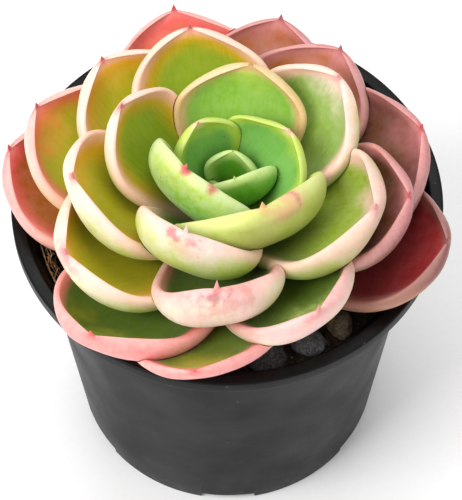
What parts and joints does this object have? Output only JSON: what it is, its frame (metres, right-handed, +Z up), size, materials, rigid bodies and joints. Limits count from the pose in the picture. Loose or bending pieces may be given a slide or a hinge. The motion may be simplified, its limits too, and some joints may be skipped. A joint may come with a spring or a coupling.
{
  "type": "potted succulent",
  "caption": "Rosette of thick cupped leaves with small points, pink outside and green in the middle, planted in a black round nursery pot with notched foot.",
  "frame": {"origin": "middle of the pot's foot, on the surface that it stands on", "axes": "+Z up, -Y towards the side of the pot that the rosette leans over"},
  "size_m": [0.1136, 0.1173, 0.1279],
  "materials": {
    "pot_plastic": "satin black polypropylene, faintly drawn, lighter on the rounded rim edge",
    "potting_mix": "loose dark peat and coir crumbs with dry root fibres",
    "stem": "pale green-brown succulent stem with ring scars",
    "leaf_inner": "smooth waxy bloom, fresh green to yellow-green with crimson tip",
    "leaf_middle": "smooth waxy bloom, cream, yellow and pink over green",
    "leaf_outer": "smooth waxy bloom, coral pink edges over olive green",
    "pebble_grey": "matte worn stone",
    "pebble_tan": "matte worn stone"
  },
  "bodies": {
    "root": {"pot": "pot_plastic", "soil": "potting_mix", "stem": "stem", "pebble_flat": "pebble_grey", "pebble_grey": "pebble_grey", "pebble_tan": "pebble_tan", "leaf_01": "leaf_inner", "leaf_02": "leaf_inner", "leaf_03": "leaf_inner", "leaf_04": "leaf_inner", "leaf_05": "leaf_inner", "leaf_06": "leaf_inner", "leaf_07": "leaf_middle", "leaf_08": "leaf_middle", "leaf_09": "leaf_middle", "leaf_10": "leaf_middle", "leaf_11": "leaf_middle", "leaf_12": "leaf_middle", "leaf_13": "leaf_middle", "leaf_14": "leaf_middle", "leaf_15": "leaf_middle", "leaf_16": "leaf_outer", "leaf_17": "leaf_outer", "leaf_18": "leaf_outer", "leaf_19": "leaf_outer", "leaf_20": "leaf_outer", "leaf_21": "leaf_outer", "leaf_22": "leaf_outer", "leaf_23": "leaf_outer", "leaf_24": "leaf_outer", "leaf_25": "leaf_outer", "leaf_26": "leaf_outer", "leaf_27": "leaf_outer", "leaf_28": "leaf_outer"}
  },
  "joints": []
}
